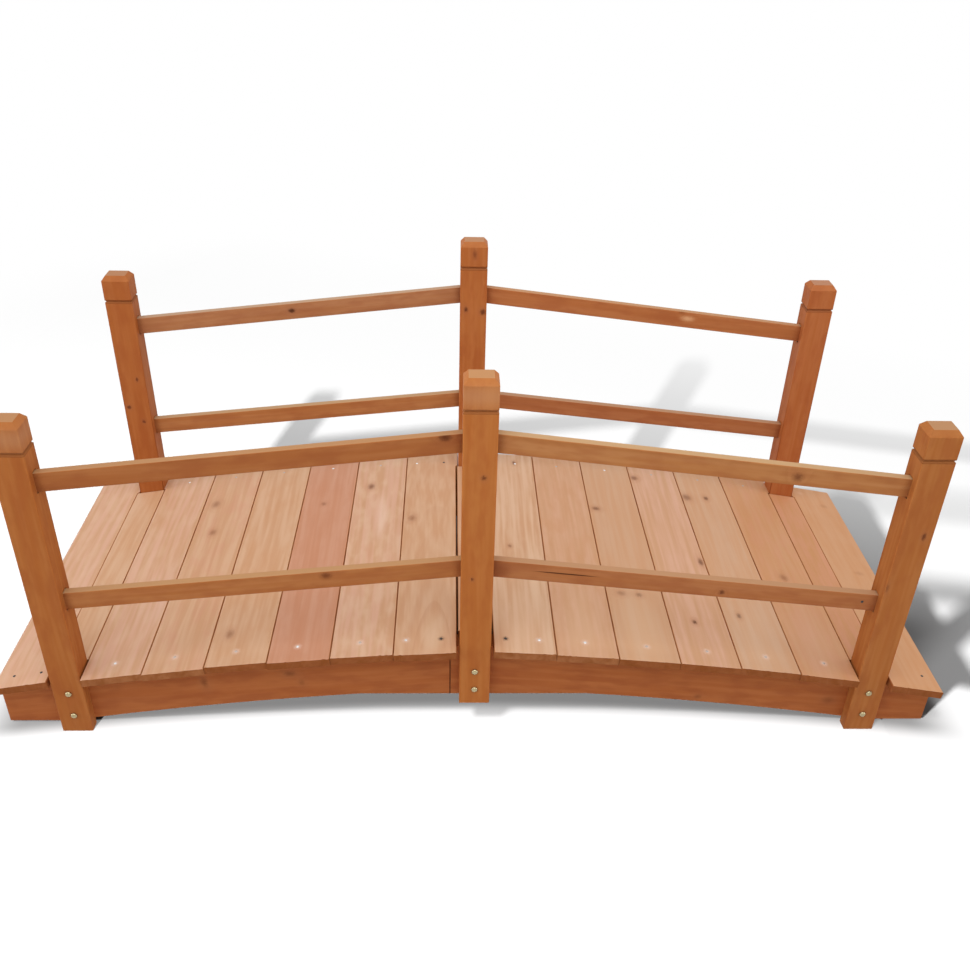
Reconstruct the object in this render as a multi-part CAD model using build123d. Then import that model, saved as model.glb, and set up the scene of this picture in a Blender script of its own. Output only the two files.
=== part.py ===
from build123d import *
from math import asin, cos, degrees, sin, sqrt
import os

# A wooden garden moon bridge in two halves, millimetres.
# X runs along the bridge, Y across it and Z up; the origin is on the ground under its middle.

# Deck: flat boards laid on a pointed arch.
deck_width = 584.0  # length of the boards that run past the posts
plank_thickness = 12.0
full_plank_width = 92.6
full_planks = 6  # boards between the middle posts and an end post
middle_plank_width = 50.0  # board between the middle posts
middle_plank_gap = 2.9  # on both its sides
post_plank_width = 53.0  # boards between a pair of end posts
end_plank_width = 83.5
plank_gap = 1.4
plank_edge = 1.0  # eased long edges on a board's top
plank_post_gap = 0.5  # between a narrow board's ends and the posts
plank_overhang = 30.0  # past the stringers' outer faces

# Stringers: arched boards on edge, two to a side, joined beside the middle post.
crown_height = 158.0  # top edge under the middle board
arch_radius = 5200.0  # of each half's top edge, which falls from the crown at a slope
stringer_depth = 88.0  # across the arched part
stringer_thickness = 28.0
seat_depth = 9.5  # from the arched underside's start down to the joining plate's flat
foot_underside = 4.0  # flat underside at the ends, above the ground
foot_trim = 15.0  # sawn off the arched underside for that flat
joint_offset = 14.0  # from the middle post's face to the butt joint

# Posts: lapped over the stringers' outer faces.
post_width = 46.5
post_depth = 38.0
post_cheek = 18.0  # what is left of the depth beside the stringer
post_edge = 1.5  # eased long edges
end_post_rise = 446.5  # top of the head above the stringers' top edge
middle_post_rise = 453.5
middle_post_drop = 2.0  # foot of the middle post below the stringers
cap_height = 8.5  # sloped top of the head
cap_inset = 6.5
groove_below_top = 45.0
groove_width = 5.0
groove_depth = 2.6

# Rails: straight bars let into mortises in the posts' sides.
rail_height = 29.3  # measured plumb
rail_thickness = 13.0
rail_edge = 1.4
top_rail_end_rise = 365.5  # top edge at the end post's face, above the stringers under that post
top_rail_middle_rise = 369.5  # the same at the middle post's face
lower_rail_end_rise = 164.5
lower_rail_middle_rise = 164.0
mortise_depth = 12.0
mortise_side_clearance = 0.2
mortise_slack = 1.5  # above and below the rail's end

# Steel plates under the butt joints.
plate_length = 170.0
plate_width = 22.0
plate_thickness = 2.0

overrun = 10.0  # how far a cut reaches past the wood

# Places that follow from the sizes above.
stringer_outer = deck_width / 2 - plank_overhang
stringer_middle = stringer_outer - stringer_thickness / 2
post_outer = stringer_outer + post_cheek
post_inner = post_outer - post_depth
post_middle = post_outer - post_depth / 2
lap_depth = post_depth - post_cheek + overrun
lap_middle = stringer_outer - lap_depth / 2
crown_half = middle_plank_width / 2 + middle_plank_gap - plank_gap / 2
full_pitch = full_plank_width + plank_gap
post_pitch = post_plank_width + plank_gap
post_run = full_planks * full_pitch + post_pitch / 2  # along the arch, from its start to an end post
end_run = post_run + post_pitch / 2 + end_plank_width
middle_underside = crown_height - stringer_depth - seat_depth
end_height = foot_underside + stringer_depth - foot_trim
half_sweep = end_run / arch_radius / 2
arch_angle = asin((crown_height - end_height) / (2 * arch_radius * sin(half_sweep))) - half_sweep
arch_x = crown_half - arch_radius * sin(arch_angle)
arch_z = crown_height - arch_radius * cos(arch_angle)
joint_x = -(post_width / 2 + joint_offset)


def arch_point(run):
    """The place at a distance along one half's top edge, and the slope there in radians."""
    turn = arch_angle + run / arch_radius
    return arch_x + arch_radius * sin(turn), arch_z + arch_radius * cos(turn), turn


def arch_x_at(radius, height):
    """Where an arc about the arch's centre comes down to a height."""
    return arch_x + sqrt(radius**2 - (height - arch_z) ** 2)


def arch_height(radius, x):
    """How high an arc about the arch's centre is at a place along the bridge."""
    return arch_z + sqrt(radius**2 - (x - arch_x) ** 2)


end_post_x, end_post_seat = arch_point(post_run)[:2]
half_span = arch_point(end_run)[0]


def arch_edge(radius, x_from, x_to):
    """A stretch of an arc about the arch's centre."""
    x_between = (x_from + x_to) / 2
    stops = [(x, arch_height(radius, x)) for x in (x_from, x_between, x_to)]
    return ThreePointArc(*stops)


def whole(half_face):
    """A face and its mirror image about the upright axis, as one."""
    return half_face + mirror(half_face, about=Plane.YZ)


def top_edges():
    """The stringers' top edge from the bridge's middle to its +X end."""
    crown = Line((0, crown_height), (crown_half, crown_height))
    return [crown, arch_edge(arch_radius, crown_half, half_span)]


def slab(face, thickness):
    """An upright slab of this front view, about the XZ plane."""
    return extrude(Plane.XZ * face, amount=thickness / 2, both=True)


def stringer_pair():
    """The left and right stringers of one side, sawn from one arch at the butt joint."""
    under_radius = arch_radius - stringer_depth
    seat_end = arch_x_at(under_radius, middle_underside)
    foot_start = arch_x_at(under_radius, foot_underside)
    seat = Polyline((0, crown_height), (0, middle_underside), (seat_end, middle_underside))
    under = arch_edge(under_radius, seat_end, foot_start)
    foot = Polyline(
        (foot_start, foot_underside),
        (half_span, foot_underside),
        (half_span, arch_height(arch_radius, half_span)),
    )
    arch = slab(whole(make_face(top_edges() + [foot, under, seat])), stringer_thickness)
    saw = Plane.YZ.offset(joint_x)
    return {
        "left": split(arch, bisect_by=saw, keep=Keep.BOTTOM),
        "right": split(arch, bisect_by=saw, keep=Keep.TOP),
    }


def post_lap():
    """All below the stringers' top edge, as deep as the posts are cut away for it."""
    below = Polyline(
        (half_span, arch_height(arch_radius, half_span)),
        (half_span, -overrun),
        (0, -overrun),
        (0, crown_height),
    )
    return slab(whole(make_face(top_edges() + [below])), lap_depth)


def plank(length, width):
    """A board across the bridge, its underside's middle at the origin, with eased top edges."""
    board = Box(width, length, plank_thickness, align=(Align.CENTER, Align.CENTER, Align.MIN))
    long_edges = board.faces().sort_by(Axis.Z)[-1].edges().filter_by(Axis.Y)
    return chamfer(long_edges, plank_edge)


def post_outline(width, height):
    """The front view of a whole post: a shaft, a groove and a head with a sloped top."""
    half = width / 2
    groove_z = height - groove_below_top
    half_outline = [
        (0, 0),
        (half, 0),
        (half, groove_z - groove_width / 2),
        (half - groove_depth, groove_z),
        (half, groove_z + groove_width / 2),
        (half, height - cap_height),
        (half - cap_inset, height),
        (0, height),
    ]
    return whole(make_face(Polyline(*half_outline, close=True)))


def post_blank(height):
    """A post with eased edges and a mitred groove and head, its foot's middle at the origin."""
    across = slab(post_outline(post_width, height), post_depth)
    along = slab(post_outline(post_depth, height), post_width)
    eased = extrude(RectangleRounded(post_width, post_depth, post_edge), height)
    return across & Rot(0, 0, 90) * along & eased


def rail_line(end_height, middle_height):
    """The slope of a rail and its top edge's height above the bridge's middle."""
    clear_run = end_post_x - post_width
    slope = (end_height - middle_height) / clear_run
    return slope, middle_height - slope * post_width / 2


def rail(end_height, middle_height):
    """A sloping bar with plumb ends that reach the bottoms of two mortises, about the XZ plane."""
    slope, height_at_middle = rail_line(end_height, middle_height)
    x_from = post_width / 2 - mortise_depth
    x_to = end_post_x - x_from
    corners = [(x, height_at_middle + slope * x) for x in (x_from, x_to)]
    corners += [(x, z - rail_height) for x, z in reversed(corners)]
    bar = slab(make_face(Polyline(*corners, close=True)), rail_thickness)
    long_edges = bar.edges().sort_by(SortBy.LENGTH)[-4:]
    return fillet(long_edges, rail_edge)


def mortise(end_height, middle_height, post_x, side):
    """The pocket that takes a rail's end in a post, on the post's -X or +X side."""
    slope, height_at_middle = rail_line(end_height, middle_height)
    face_x = post_x + side * post_width / 2
    bottom_x = face_x - side * mortise_depth
    ends = [height_at_middle + slope * x for x in (face_x, bottom_x)]
    top = max(ends) + mortise_slack
    bottom = min(ends) - rail_height - mortise_slack
    length = mortise_depth + overrun
    pocket = Box(length, rail_thickness + 2 * mortise_side_clearance, top - bottom)
    return Pos(bottom_x + side * length / 2, 0, (top + bottom) / 2) * pocket


rail_heights = {
    "top_rail": (end_post_seat + top_rail_end_rise, crown_height + top_rail_middle_rise),
    "lower_rail": (end_post_seat + lower_rail_end_rise, crown_height + lower_rail_middle_rise),
}


def end_post():
    """The post at the +X end, about the XZ plane of its railing."""
    blank = Pos(end_post_x, 0, 0) * post_blank(end_post_seat + end_post_rise)
    for heights in rail_heights.values():
        blank -= mortise(*heights, end_post_x, -1)
    return blank


def middle_post():
    """The post at the bridge's middle, with mortises on both sides."""
    foot = middle_underside - middle_post_drop
    blank = Pos(0, 0, foot) * post_blank(crown_height + middle_post_rise - foot)
    for heights in rail_heights.values():
        pocket = mortise(*heights, 0, 1)
        blank -= pocket
        blank -= mirror(pocket, about=Plane.YZ)
    return blank


def to_left(piece):
    return mirror(piece, about=Plane.YZ)


def to_side(piece, y):
    """Stands a railing piece on one side of the bridge: y is its middle plane."""
    return Pos(0, y, 0) * piece


sides = {"front": -1, "back": 1}
parts = {}

for side_name, side in sides.items():
    for half_name, piece in stringer_pair().items():
        parts[f"{side_name}_{half_name}_stringer"] = to_side(piece, side * stringer_middle)

# The posts are lapped over the stringers' outer faces and top edges.
right_post = end_post()
posts = {"left": to_left(right_post), "middle": middle_post(), "right": right_post}
lap = post_lap()
for side_name, side in sides.items():
    cut = to_side(lap, side * lap_middle)
    for post_name, piece in posts.items():
        parts[f"{side_name}_{post_name}_post"] = to_side(piece, side * post_middle) - cut

for side_name, side in sides.items():
    for rail_name, heights in rail_heights.items():
        bar = to_side(rail(*heights), side * post_middle)
        parts[f"{side_name}_right_{rail_name}"] = bar
        parts[f"{side_name}_left_{rail_name}"] = to_left(bar)

# The boards follow the arch, each lying flat on the stringers at its own middle.
narrow_length = 2 * (post_inner - plank_post_gap)
parts["middle_plank"] = Pos(0, 0, crown_height) * plank(narrow_length, middle_plank_width)
half_planks = [
    (f"plank_{number + 1}", (number + 0.5) * full_pitch, deck_width, full_plank_width)
    for number in range(full_planks)
]
half_planks.append(("post_plank", post_run, narrow_length, post_plank_width))
half_planks.append(("end_plank", end_run - end_plank_width / 2, deck_width, end_plank_width))
for name, run, length, width in half_planks:
    x, z, turn = arch_point(run)
    board = Pos(x, 0, z) * Rot(0, degrees(turn), 0) * plank(length, width)
    parts[f"right_{name}"] = board
    parts[f"left_{name}"] = to_left(board)

for side_name, side in sides.items():
    plate = Box(plate_length, plate_width, plate_thickness, align=(Align.CENTER, Align.CENTER, Align.MAX))
    parts[f"{side_name}_joining_plate"] = Pos(0, side * stringer_middle, middle_underside) * plate

os.makedirs("parts", exist_ok=True)
for name, piece in parts.items():
    export_step(piece, f"parts/{name}.step")
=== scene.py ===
from itertools import count
from math import cos, pi, radians, sin

import bmesh
import bpy
from mathutils import Matrix, Vector, noise


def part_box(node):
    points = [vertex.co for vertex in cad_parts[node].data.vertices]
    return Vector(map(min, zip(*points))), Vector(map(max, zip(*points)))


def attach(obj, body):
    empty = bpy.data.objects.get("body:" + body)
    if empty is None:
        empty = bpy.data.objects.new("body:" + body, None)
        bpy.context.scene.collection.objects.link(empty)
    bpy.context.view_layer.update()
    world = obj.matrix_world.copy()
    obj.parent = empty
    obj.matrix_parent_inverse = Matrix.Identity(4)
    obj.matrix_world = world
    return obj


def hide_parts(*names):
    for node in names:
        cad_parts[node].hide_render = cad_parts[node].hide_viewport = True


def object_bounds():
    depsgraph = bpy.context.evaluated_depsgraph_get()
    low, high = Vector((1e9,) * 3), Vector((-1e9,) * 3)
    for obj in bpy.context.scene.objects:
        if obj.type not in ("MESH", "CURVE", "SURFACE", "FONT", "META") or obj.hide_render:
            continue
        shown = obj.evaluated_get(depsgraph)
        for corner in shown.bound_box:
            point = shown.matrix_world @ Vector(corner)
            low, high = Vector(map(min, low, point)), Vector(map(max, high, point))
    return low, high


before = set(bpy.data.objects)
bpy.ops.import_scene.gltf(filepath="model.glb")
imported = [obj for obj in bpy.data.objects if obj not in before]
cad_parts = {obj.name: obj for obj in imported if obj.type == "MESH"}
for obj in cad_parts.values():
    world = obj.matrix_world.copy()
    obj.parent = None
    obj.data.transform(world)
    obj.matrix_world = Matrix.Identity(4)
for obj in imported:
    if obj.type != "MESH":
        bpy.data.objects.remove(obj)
cad_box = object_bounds()

# A stained softwood garden bridge. Sizes in this script are millimetres, which MM turns to Blender's metres.
MM = 0.001
SIDES = {"front": -1, "back": 1}
HALVES = ("left", "right")
PLACES = ("left", "middle", "right")
RAILS = ("top_rail", "lower_rail")


def linear(hex_colour):
    """An sRGB hex colour as the linear RGBA that a shader socket takes."""
    shares = [int(hex_colour[i : i + 2], 16) / 255 for i in (1, 3, 5)]
    return [s / 12.92 if s <= 0.04045 else ((s + 0.055) / 1.055) ** 2.4 for s in shares] + [1.0]


def add(tree, kind, inputs=None, **settings):
    """Adds one shader node with its settings, sets or links its inputs, and returns its outputs."""
    node = tree.nodes.new("ShaderNode" + kind)
    for name, value in settings.items():
        setattr(node, name, value)
    for key, value in (inputs or {}).items():
        if isinstance(value, bpy.types.NodeSocket):
            tree.links.new(value, node.inputs[key])
        else:
            node.inputs[key].default_value = value
    return node.outputs


def empty_material(name):
    """A new material with nothing in its tree but an output, and that output's surface socket."""
    material = bpy.data.materials.new(name)
    material.use_nodes = True
    material.node_tree.nodes.clear()
    output = material.node_tree.nodes.new("ShaderNodeOutputMaterial")
    return material, material.node_tree, output.inputs["Surface"]


# Stained wood
# Planed spruce or fir under a thin oil stain: pale early wood, thin darker late-wood lines, soft streaks
# along the grain and brown knots; the stain makes the frame orange-brown and leaves the deck a pale tan.
KNOT_TONE = "#74401F"
FRAME_KNOT_TONE = "#63301A"
HALO_TONE = "#A8683F"
KNOT_HEART_TONE = "#4E2812"
STAIN_TONE = "#5A3018"
CRACK_TONE = "#3E1E0E"

# Patterns in the wood: sizes across the grain, into the wood and along the grain. The fibres are as fine as
# real ones: from the photograph's camera they only soften the gloss, and a close view shows them.
DRIFT_SIZE = (130, 130, 520)  # of the trunk's bends
DRIFT_REACH = (24, 24, 0)
RIPPLE_SIZE = (1.8, 1.8, 3.2)  # of the unevenness of a mark's edge
RIPPLE_REACH = (4, 4, 9)
FIBRE_SIZE = (0.4, 6, 64)
FIBRE_RANGE = (0.3, 0.7)  # of the noise, from the least effect to the most, as in all the ranges
FIBRE_SHADES = (0.985, 1.015)
STREAK_SIZE = (8, 8, 180)
STREAK_RANGE = (0.32, 0.68)
BLOTCH_SIZE = (14, 14, 48)
BLOTCH_RANGE = (0.4, 0.68)

WEATHER_SPELL = 2.7  # how many years are alike
WEATHER_SWING = 2.4  # by how many years' width the rings shift with the weather
LATE_WOOD_RISE = (0.3, 0.88)  # of a year's growth
LATE_WOOD_FALL = (1.0, 0.93)
STRONG_BAND = 22.2  # width of wood whose lines are alike in strength
STRONG_RANGE = (0.35, 0.65)
KNOT_BEND_SHARE = 2.6  # of a knot's size, the reach of the bend that it gives the rings
KNOT_LIFT_SHARE = 2.2  # of a ring's width, the height of that bend
MARK_DEPTH_SHARE = 2.0  # of a mark's half width
END_GRAIN_FACING = (0.4, 0.65)  # how far a face looks along the grain, to drink more stain and most
PAINTED_SHEEN_FACING = (0.75, 0.95)  # how far a face looks up, to be painted paler a little and wholly, as painted sheen
RELIEF = 0.25  # of the fibres
LINE_RELIEF_SHARE = 0.35  # of that, for the late-wood lines
RELIEF_STRENGTH = 0.08
WOOD_IOR = 1.5


def log_turn(grain):
    """The turn from a log's own Z to the way its grain runs on the bridge."""
    return Vector((0, 0, 1)).rotation_difference(Vector(grain)).to_euler()


def log_place(place, heart, grain):
    """A place on the bridge, in mm, as seen from a log's heart with Z along its grain."""
    return log_turn(grain).to_matrix().transposed() @ (Vector(place) - Vector(heart))


def log_coordinates(tree, place, heart, grain):
    """The place that is shaded, in mm, as seen from a log's heart with Z along its grain."""
    inputs = {
        "Vector": place,
        "Location": [h * MM for h in heart],
        "Rotation": log_turn(grain),
        "Scale": (MM, MM, MM),
    }
    return add(tree, "Mapping", inputs, vector_type="TEXTURE")[0]


def lumps(tree, place, size, seed, detail=2.0):
    """Noise whose lumps have a size in mm, drawn out along the grain."""
    shares = [1 / length for length in size]
    stretched = add(tree, "VectorMath", {0: place, 1: shares}, operation="MULTIPLY")[0]
    inputs = {"Vector": stretched, "W": seed, "Scale": 1.0, "Detail": detail}
    return add(tree, "TexNoise", inputs, noise_dimensions="4D")


def wandering(tree, place, size, reach, seed):
    """Places that wander to and fro across a reach in mm."""
    colour = lumps(tree, place, size, seed)["Color"]
    way = add(tree, "VectorMath", {0: colour, 1: (0.5, 0.5, 0.5)}, operation="SUBTRACT")[0]
    return add(tree, "VectorMath", {0: way, 1: reach, 2: place}, operation="MULTIPLY_ADD")[0]


def mark_reaches(tree, marks, log, rippled, heart, grain):
    """How far a place is from the middle of each mark, as a share of the mark's size."""
    reaches = []
    for mark in marks:
        place = log if mark["kind"] == "crack" else rippled
        middle = log_place(mark["at"], heart, grain)
        away = add(tree, "VectorMath", {0: place, 1: middle}, operation="SUBTRACT")[0]
        across, along = mark["size"]
        shares = (1 / across, 1 / (across * MARK_DEPTH_SHARE), 1 / along)
        away = add(tree, "VectorMath", {0: away, 1: shares}, operation="MULTIPLY")[0]
        reaches.append(add(tree, "VectorMath", {0: away}, operation="LENGTH")["Value"])
    return reaches


def late_wood_lines(tree, bent, ring, marks, reaches):
    """Thin lines in rings round the log's heart, lifted round knots and stronger in some years."""
    flat = add(tree, "VectorMath", {0: bent, 1: (1, 1, 0)}, operation="MULTIPLY")[0]
    radius = add(tree, "VectorMath", {0: flat}, operation="LENGTH")["Value"]
    highest = ring * KNOT_LIFT_SHARE
    for mark, reach in zip(marks, reaches):
        if mark["kind"] == "knot":
            inputs = {"Value": reach, "From Min": KNOT_BEND_SHARE, "From Max": 0.0, "To Max": highest}
            lift = add(tree, "MapRange", inputs, interpolation_type="SMOOTHSTEP")[0]
            radius = add(tree, "Math", {0: radius, 1: lift}, operation="ADD")[0]
    years = add(tree, "Math", {0: radius, 1: 1 / ring}, operation="MULTIPLY")[0]
    inputs = {"W": years, "Scale": 1 / WEATHER_SPELL, "Detail": 1.0}
    weather = add(tree, "TexNoise", inputs, noise_dimensions="1D")["Fac"]
    years = add(tree, "Math", {0: weather, 1: WEATHER_SWING, 2: years}, operation="MULTIPLY_ADD")[0]
    season = add(tree, "Math", {0: years}, operation="FRACT")[0]
    slopes = []
    for start, end in (LATE_WOOD_RISE, LATE_WOOD_FALL):
        inputs = {"Value": season, "From Min": start, "From Max": end}
        slopes.append(add(tree, "MapRange", inputs, interpolation_type="SMOOTHSTEP")[0])
    rise, fall = slopes
    lines = add(tree, "Math", {0: rise, 1: fall}, operation="MULTIPLY")[0]
    inputs = {"W": radius, "Scale": 1 / STRONG_BAND, "Detail": 1.0}
    band = add(tree, "TexNoise", inputs, noise_dimensions="1D")["Fac"]
    low, high = STRONG_RANGE
    strong = add(tree, "MapRange", {"Value": band, "From Min": low, "From Max": high})[0]
    return add(tree, "Math", {0: lines, 1: strong}, operation="MULTIPLY")[0]


def clear_wood(tree, look, streak, blotch, lines, fibre):
    """The colour of the wood away from its marks: early wood with streaks, blotches, late wood and fibres."""
    colour = linear(look["ground"])
    layers = (("streak", "streaks", streak, STREAK_RANGE), ("blotch", "blotches", blotch, BLOTCH_RANGE))
    for tone, most, pattern, (low, high) in layers:
        inputs = {"Value": pattern, "From Min": low, "From Max": high, "To Max": look[most]}
        share = add(tree, "MapRange", inputs, interpolation_type="SMOOTHSTEP")[0]
        colour = add(tree, "Mix", {0: share, 6: colour, 7: linear(look[tone])}, data_type="RGBA")[2]
    share = add(tree, "Math", {0: lines, 1: look["lines"]}, operation="MULTIPLY")[0]
    colour = add(tree, "Mix", {0: share, 6: colour, 7: linear(look["line"])}, data_type="RGBA")[2]
    low, high = FIBRE_RANGE
    darkest, palest = FIBRE_SHADES
    inputs = {"Value": fibre, "From Min": low, "From Max": high, "To Min": darkest, "To Max": palest}
    shade = add(tree, "MapRange", inputs)[0]
    return add(tree, "VectorMath", {0: colour, "Scale": shade}, operation="SCALE")[0]


def marked_wood(tree, colour, marks, reaches):
    """The colour of the wood with its marks laid on."""
    for mark, reach in zip(marks, reaches):
        for outer, inner, most, tone in mark["layers"]:
            inputs = {"Value": reach, "From Min": outer, "From Max": inner, "To Max": most}
            share = add(tree, "MapRange", inputs, interpolation_type="SMOOTHSTEP")[0]
            colour = add(tree, "Mix", {0: share, 6: colour, 7: linear(tone)}, data_type="RGBA")[2]
    return colour


def end_stain_and_painted_sheen(tree, colour, normal, grain, look):
    """The colour of the wood where end grain drinks more stain, with a painted sheen: faces that look up are
    painted paler.
    """
    way = Vector(grain).normalized()
    facing = add(tree, "VectorMath", {0: normal, 1: way}, operation="DOT_PRODUCT")["Value"]
    facing = add(tree, "Math", {0: facing}, operation="ABSOLUTE")[0]
    low, high = END_GRAIN_FACING
    inputs = {"Value": facing, "From Min": low, "From Max": high, "To Max": look["ends"]}
    share = add(tree, "MapRange", inputs)[0]
    colour = add(tree, "Mix", {0: share, 6: colour, 7: linear(look["end"])}, data_type="RGBA")[2]
    upward = add(tree, "SeparateXYZ", {0: normal})["Z"]
    # Painted sheen: faces that look up are painted in the top tone
    low, high = PAINTED_SHEEN_FACING
    inputs = {"Value": upward, "From Min": low, "From Max": high, "To Max": look["top_sheen_share"]}
    share = add(tree, "MapRange", inputs, interpolation_type="SMOOTHSTEP")[0]
    colour = add(tree, "Mix", {0: share, 6: colour, 7: linear(look["top"])}, data_type="RGBA")[2]
    tint = look.get("tint", (1, 1, 1))
    return add(tree, "VectorMath", {0: colour, 1: tint}, operation="MULTIPLY")[0]


def stained_wood(name, grain, heart, look, seed, marks=()):
    """Planed, stained softwood cut from one log. Marks are knots, stains, cracks and pale patches in it, and
    painted light and shade.
    """
    material, tree, surface = empty_material(name)
    coords = add(tree, "TexCoord")
    log = log_coordinates(tree, coords["Object"], heart, grain)
    bent = wandering(tree, log, DRIFT_SIZE, DRIFT_REACH, seed)
    fine_seed = 5 * seed  # other seeds, so that the fine patterns don't follow the bends
    rippled = wandering(tree, log, RIPPLE_SIZE, RIPPLE_REACH, fine_seed)
    reaches = mark_reaches(tree, marks, log, rippled, heart, grain)
    lines = late_wood_lines(tree, bent, look["ring"], marks, reaches)
    fibre = lumps(tree, bent, FIBRE_SIZE, fine_seed)["Fac"]
    streak = lumps(tree, bent, STREAK_SIZE, fine_seed + 25, 1.0)["Fac"]
    blotch = lumps(tree, log, BLOTCH_SIZE, fine_seed + 45)["Fac"]
    colour = clear_wood(tree, look, streak, blotch, lines, fibre)
    colour = marked_wood(tree, colour, marks, reaches)
    colour = end_stain_and_painted_sheen(tree, colour, coords["Normal"], grain, look)
    low, high = FIBRE_RANGE
    smooth, rough = look["roughness"]
    inputs = {"Value": fibre, "From Min": low, "From Max": high, "To Min": rough, "To Max": smooth}
    roughness = add(tree, "MapRange", inputs)[0]
    height = add(tree, "Math", {0: lines, 1: LINE_RELIEF_SHARE, 2: fibre}, operation="MULTIPLY_ADD")[0]
    relief = add(tree, "Bump", {"Height": height, "Strength": RELIEF_STRENGTH, "Distance": RELIEF * MM})[0]
    inputs = {
        "Base Color": colour,
        "Roughness": roughness,
        "IOR": WOOD_IOR,
        "Specular IOR Level": look["gloss"],
        "Normal": relief,
    }
    tree.links.new(add(tree, "BsdfPrincipled", inputs)[0], surface)
    return material


# A mark's layers say how far from its middle they begin and are whole, as shares of its size, how strong they
# are there, and their tone.
def knot(x, y, z, across, along, share=0.7, heart=0.0, tone=KNOT_TONE):
    """A branch's foot: a brown eye that the rings pass round, some with a dark heart."""
    layers = [
        (2.4, 0.4, 0.45 * share, HALO_TONE),
        (1.2, 0.0, share, tone),
        (0.9, 0.2, heart, KNOT_HEART_TONE),
    ]
    return {"kind": "knot", "at": (x, y, z), "size": (across, along), "layers": layers}


def stain(x, y, z, across, along, share, tone=STAIN_TONE):
    """A soft patch in the colour of a tone: a pale streak, a scuff, a dark drip, or painted light or shade.
    """
    return {"kind": "stain", "at": (x, y, z), "size": (across, along), "layers": [(1.0, 0.0, share, tone)]}


def crack(x, y, z, across, along, share=0.9, tone=CRACK_TONE):
    """A dark mark with straight edges: a split along the grain, or shade painted into a groove."""
    return {"kind": "crack", "at": (x, y, z), "size": (across, along), "layers": [(1.0, 0.5, share, tone)]}


# Metal and paint
BOLT_ZINC = ("#AC9E7B", (0.18, 0.32))  # tone and roughness, as in the next two
BRIGHT_NAIL_ZINC = ("#E2E0DE", (0.3, 0.45))
DULL_NAIL_ZINC = ("#BFB0A6", (0.4, 0.6))
CLOUD_SIZE = 3.0  # of the dull clouds in the zinc
CLOUD_ROUGH_RANGE = (0.35, 0.65)
CLOUD_SHADE_RANGE = (0.3, 0.7)
CLOUD_SHADES = (0.8, 1.05)
PAINT_TONES = ("#161514", "#2A2725")
PAINT_ROUGHNESS = (0.38, 0.6)
PEEL_SIZE = 2.5  # of the paint's orange-peel
PEEL_HEIGHT = 0.1
PEEL_STRENGTH = 0.2


def zinc_plated_steel(name, tone, roughness):
    """Zinc on turned steel: a soft mirror, a little cloudy from handling."""
    material, tree, surface = empty_material(name)
    coords = add(tree, "TexCoord")
    inputs = {"Vector": coords["Object"], "Scale": 1 / (CLOUD_SIZE * MM), "Detail": 3.0}
    cloud = add(tree, "TexNoise", inputs)["Fac"]
    low, high = CLOUD_ROUGH_RANGE
    smoothest, roughest = roughness
    inputs = {"Value": cloud, "From Min": low, "From Max": high, "To Min": smoothest, "To Max": roughest}
    rough = add(tree, "MapRange", inputs)[0]
    low, high = CLOUD_SHADE_RANGE
    darkest, palest = CLOUD_SHADES
    inputs = {"Value": cloud, "From Min": low, "From Max": high, "To Min": darkest, "To Max": palest}
    shade = add(tree, "MapRange", inputs)[0]
    colour = add(tree, "VectorMath", {0: linear(tone)[:3], "Scale": shade}, operation="SCALE")[0]
    shader = add(tree, "BsdfPrincipled", {"Base Color": colour, "Roughness": rough, "Metallic": 1.0})[0]
    tree.links.new(shader, surface)
    return material


def black_paint(name):
    """Black paint on steel: dull, with a faint orange-peel."""
    material, tree, surface = empty_material(name)
    coords = add(tree, "TexCoord")
    inputs = {"Vector": coords["Object"], "Scale": 1 / (PEEL_SIZE * MM), "Detail": 2.0}
    peel = add(tree, "TexNoise", inputs)["Fac"]
    dark, pale = [linear(tone) for tone in PAINT_TONES]
    colour = add(tree, "Mix", {0: peel, 6: dark, 7: pale}, data_type="RGBA")[2]
    smoothest, roughest = PAINT_ROUGHNESS
    rough = add(tree, "MapRange", {"Value": peel, "To Min": smoothest, "To Max": roughest})[0]
    bump = add(tree, "Bump", {"Height": peel, "Strength": PEEL_STRENGTH, "Distance": PEEL_HEIGHT * MM})[0]
    shader = add(tree, "BsdfPrincipled", {"Base Color": colour, "Roughness": rough, "Normal": bump})[0]
    tree.links.new(shader, surface)
    return material


# Making pieces
MERGE_DISTANCE = 0.005
TOUCH_DISTANCE = 0.001
FLAT_ANGLE = radians(0.2)
SHARP_ANGLE = radians(24)


def whole_faces(node):
    """A bmesh of a node's shape, with its loose triangles merged back into whole faces."""
    bm = bmesh.new()
    bm.from_mesh(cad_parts[node].data)
    bmesh.ops.remove_doubles(bm, verts=bm.verts, dist=MERGE_DISTANCE * MM)
    bmesh.ops.dissolve_limit(bm, angle_limit=FLAT_ANGLE, verts=bm.verts, edges=bm.edges)
    return bm


def new_piece(name, bm, materials, node=None):
    """Turns a bmesh into a piece of the bridge, in place of a node where one is named."""
    mesh = bpy.data.meshes.new(name)
    bm.to_mesh(mesh)
    bm.free()
    for material in materials:
        mesh.materials.append(material)
    piece = bpy.data.objects.new(name, mesh)
    bpy.context.scene.collection.objects.link(piece)
    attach(piece, "root")
    if node:
        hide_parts(node)
    return piece


def cut(bm, place, way):
    """Cuts a mesh's faces along a plane, so that it has vertices there."""
    geometry = bm.verts[:] + bm.edges[:] + bm.faces[:]
    bmesh.ops.bisect_plane(bm, geom=geometry, dist=TOUCH_DISTANCE * MM, plane_co=place, plane_no=way)


def ease(bm, edges, width):
    """Rounds edges, as sanding leaves them."""
    bmesh.ops.bevel(
        bm,
        geom=edges,
        offset=width * MM,
        segments=2,
        affect="EDGES",
        profile=0.5,
        material=-1,
        clamp_overlap=True,
    )


def node_middle(node):
    """The middle of a node's box, in mm."""
    low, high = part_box(node)
    return [(a + b) / 2 / MM for a, b in zip(low, high)]


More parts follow.
